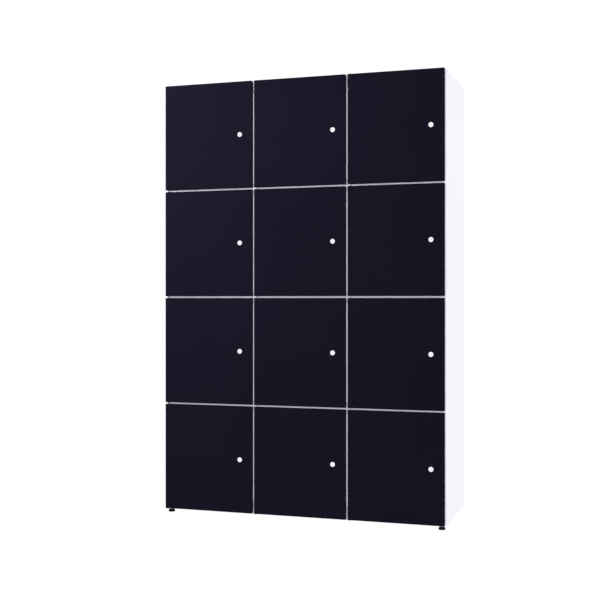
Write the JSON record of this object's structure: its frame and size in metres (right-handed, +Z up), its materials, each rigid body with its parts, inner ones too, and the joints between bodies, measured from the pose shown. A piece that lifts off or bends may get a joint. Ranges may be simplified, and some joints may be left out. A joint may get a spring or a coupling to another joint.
{
  "type": "locker cabinet",
  "caption": "Tall white board locker cabinet on levelling feet, with a grid of equal dark flat doors, each hung on pivot hinges and closed by a round key cam lock.",
  "frame": {"origin": "middle of the footprint, on the floor", "axes": "+X to the right of a person who faces the doors, +Y towards the back, +Z up"},
  "size_m": [1.2, 0.483, 1.813],
  "materials": {
    "door_laminate": "satin dark indigo laminate on board",
    "carcass_melamine": "satin white melamine on board",
    "lock_metal": "satin nickel-plated zinc",
    "zinc_steel": "bright zinc-plated steel",
    "foot_plastic": "black moulded nylon",
    "bracket_coating": "light grey powder-coated zinc casting",
    "buffer_rubber": "clear soft polyurethane"
  },
  "bodies": {
    "carcass": {"top_panel": "carcass_melamine", "base_panel": "carcass_melamine", "left_side_panel": "carcass_melamine", "left_partition": "carcass_melamine", "right_partition": "carcass_melamine", "right_side_panel": "carcass_melamine", "back_panel": "carcass_melamine", "shelf_a_upper": "carcass_melamine", "shelf_a_middle": "carcass_melamine", "shelf_a_lower": "carcass_melamine", "shelf_b_upper": "carcass_melamine", "shelf_b_middle": "carcass_melamine", "shelf_b_lower": "carcass_melamine", "shelf_c_upper": "carcass_melamine", "shelf_c_middle": "carcass_melamine", "shelf_c_lower": "carcass_melamine", "pivot_brackets": "bracket_coating", "lock_keepers": "zinc_steel", "door_buffers": "buffer_rubber", "fasteners": "zinc_steel"},
    "door_a1": {"door_a1_panel": "door_laminate", "door_a1_fittings": "lock_metal"},
    "door_a1_lock": {"door_a1_lock_cam": "lock_metal"},
    "door_a2": {"door_a2_panel": "door_laminate", "door_a2_fittings": "lock_metal"},
    "door_a2_lock": {"door_a2_lock_cam": "lock_metal"},
    "door_a3": {"door_a3_panel": "door_laminate", "door_a3_fittings": "lock_metal"},
    "door_a3_lock": {"door_a3_lock_cam": "lock_metal"},
    "door_a4": {"door_a4_panel": "door_laminate", "door_a4_fittings": "lock_metal"},
    "door_a4_lock": {"door_a4_lock_cam": "lock_metal"},
    "door_b1": {"door_b1_panel": "door_laminate", "door_b1_fittings": "lock_metal"},
    "door_b1_lock": {"door_b1_lock_cam": "lock_metal"},
    "door_b2": {"door_b2_panel": "door_laminate", "door_b2_fittings": "lock_metal"},
    "door_b2_lock": {"door_b2_lock_cam": "lock_metal"},
    "door_b3": {"door_b3_panel": "door_laminate", "door_b3_fittings": "lock_metal"},
    "door_b3_lock": {"door_b3_lock_cam": "lock_metal"},
    "door_b4": {"door_b4_panel": "door_laminate", "door_b4_fittings": "lock_metal"},
    "door_b4_lock": {"door_b4_lock_cam": "lock_metal"},
    "door_c1": {"door_c1_panel": "door_laminate", "door_c1_fittings": "lock_metal"},
    "door_c1_lock": {"door_c1_lock_cam": "lock_metal"},
    "door_c2": {"door_c2_panel": "door_laminate", "door_c2_fittings": "lock_metal"},
    "door_c2_lock": {"door_c2_lock_cam": "lock_metal"},
    "door_c3": {"door_c3_panel": "door_laminate", "door_c3_fittings": "lock_metal"},
    "door_c3_lock": {"door_c3_lock_cam": "lock_metal"},
    "door_c4": {"door_c4_panel": "door_laminate", "door_c4_fittings": "lock_metal"},
    "door_c4_lock": {"door_c4_lock_cam": "lock_metal"},
    "foot_front_left": {"foot_front_left": "foot_plastic"},
    "foot_front_right": {"foot_front_right": "foot_plastic"},
    "foot_rear_left": {"foot_rear_left": "foot_plastic"},
    "foot_rear_right": {"foot_rear_right": "foot_plastic"}
  },
  "joints": [
    {"name": "door_a1_hinge", "type": "hinge", "parent": "carcass", "child": "door_a1", "pos_m": [-0.589, -0.2285, 1.58825], "axis": [0, 0, -1], "range_deg": [0, 110]},
    {"name": "door_a1_lock_turn", "type": "hinge", "parent": "door_a1", "child": "door_a1_lock", "pos_m": [-0.257, -0.2385, 1.58825], "axis": [0, -1, 0], "range_deg": [0, 90]},
    {"name": "door_a2_hinge", "type": "hinge", "parent": "carcass", "child": "door_a2", "pos_m": [-0.589, -0.2285, 1.13875], "axis": [0, 0, -1], "range_deg": [0, 110]},
    {"name": "door_a2_lock_turn", "type": "hinge", "parent": "door_a2", "child": "door_a2_lock", "pos_m": [-0.257, -0.2385, 1.13875], "axis": [0, -1, 0], "range_deg": [0, 90]},
    {"name": "door_a3_hinge", "type": "hinge", "parent": "carcass", "child": "door_a3", "pos_m": [-0.589, -0.2285, 0.68925], "axis": [0, 0, -1], "range_deg": [0, 110]},
    {"name": "door_a3_lock_turn", "type": "hinge", "parent": "door_a3", "child": "door_a3_lock", "pos_m": [-0.257, -0.2385, 0.68925], "axis": [0, -1, 0], "range_deg": [0, 90]},
    {"name": "door_a4_hinge", "type": "hinge", "parent": "carcass", "child": "door_a4", "pos_m": [-0.589, -0.2285, 0.23975], "axis": [0, 0, -1], "range_deg": [0, 110]},
    {"name": "door_a4_lock_turn", "type": "hinge", "parent": "door_a4", "child": "door_a4_lock", "pos_m": [-0.257, -0.2385, 0.23975], "axis": [0, -1, 0], "range_deg": [0, 90]},
    {"name": "door_b1_hinge", "type": "hinge", "parent": "carcass", "child": "door_b1", "pos_m": [-0.189, -0.2285, 1.58825], "axis": [0, 0, -1], "range_deg": [0, 110]},
    {"name": "door_b1_lock_turn", "type": "hinge", "parent": "door_b1", "child": "door_b1_lock", "pos_m": [0.143, -0.2385, 1.58825], "axis": [0, -1, 0], "range_deg": [0, 90]},
    {"name": "door_b2_hinge", "type": "hinge", "parent": "carcass", "child": "door_b2", "pos_m": [-0.189, -0.2285, 1.13875], "axis": [0, 0, -1], "range_deg": [0, 110]},
    {"name": "door_b2_lock_turn", "type": "hinge", "parent": "door_b2", "child": "door_b2_lock", "pos_m": [0.143, -0.2385, 1.13875], "axis": [0, -1, 0], "range_deg": [0, 90]},
    {"name": "door_b3_hinge", "type": "hinge", "parent": "carcass", "child": "door_b3", "pos_m": [-0.189, -0.2285, 0.68925], "axis": [0, 0, -1], "range_deg": [0, 110]},
    {"name": "door_b3_lock_turn", "type": "hinge", "parent": "door_b3", "child": "door_b3_lock", "pos_m": [0.143, -0.2385, 0.68925], "axis": [0, -1, 0], "range_deg": [0, 90]},
    {"name": "door_b4_hinge", "type": "hinge", "parent": "carcass", "child": "door_b4", "pos_m": [-0.189, -0.2285, 0.23975], "axis": [0, 0, -1], "range_deg": [0, 110]},
    {"name": "door_b4_lock_turn", "type": "hinge", "parent": "door_b4", "child": "door_b4_lock", "pos_m": [0.143, -0.2385, 0.23975], "axis": [0, -1, 0], "range_deg": [0, 90]},
    {"name": "door_c1_hinge", "type": "hinge", "parent": "carcass", "child": "door_c1", "pos_m": [0.211, -0.2285, 1.58825], "axis": [0, 0, -1], "range_deg": [0, 110]},
    {"name": "door_c1_lock_turn", "type": "hinge", "parent": "door_c1", "child": "door_c1_lock", "pos_m": [0.543, -0.2385, 1.58825], "axis": [0, -1, 0], "range_deg": [0, 90]},
    {"name": "door_c2_hinge", "type": "hinge", "parent": "carcass", "child": "door_c2", "pos_m": [0.211, -0.2285, 1.13875], "axis": [0, 0, -1], "range_deg": [0, 110]},
    {"name": "door_c2_lock_turn", "type": "hinge", "parent": "door_c2", "child": "door_c2_lock", "pos_m": [0.543, -0.2385, 1.13875], "axis": [0, -1, 0], "range_deg": [0, 90]},
    {"name": "door_c3_hinge", "type": "hinge", "parent": "carcass", "child": "door_c3", "pos_m": [0.211, -0.2285, 0.68925], "axis": [0, 0, -1], "range_deg": [0, 110]},
    {"name": "door_c3_lock_turn", "type": "hinge", "parent": "door_c3", "child": "door_c3_lock", "pos_m": [0.543, -0.2385, 0.68925], "axis": [0, -1, 0], "range_deg": [0, 90]},
    {"name": "door_c4_hinge", "type": "hinge", "parent": "carcass", "child": "door_c4", "pos_m": [0.211, -0.2285, 0.23975], "axis": [0, 0, -1], "range_deg": [0, 110]},
    {"name": "door_c4_lock_turn", "type": "hinge", "parent": "door_c4", "child": "door_c4_lock", "pos_m": [0.543, -0.2385, 0.23975], "axis": [0, -1, 0], "range_deg": [0, 90]},
    {"name": "foot_front_left_height", "type": "slide", "parent": "carcass", "child": "foot_front_left", "axis": [0, 0, -1], "range_m": [0, 0.01]},
    {"name": "foot_front_right_height", "type": "slide", "parent": "carcass", "child": "foot_front_right", "axis": [0, 0, -1], "range_m": [0, 0.01]},
    {"name": "foot_rear_left_height", "type": "slide", "parent": "carcass", "child": "foot_rear_left", "axis": [0, 0, -1], "range_m": [0, 0.01]},
    {"name": "foot_rear_right_height", "type": "slide", "parent": "carcass", "child": "foot_rear_right", "axis": [0, 0, -1], "range_m": [0, 0.01]}
  ]
}
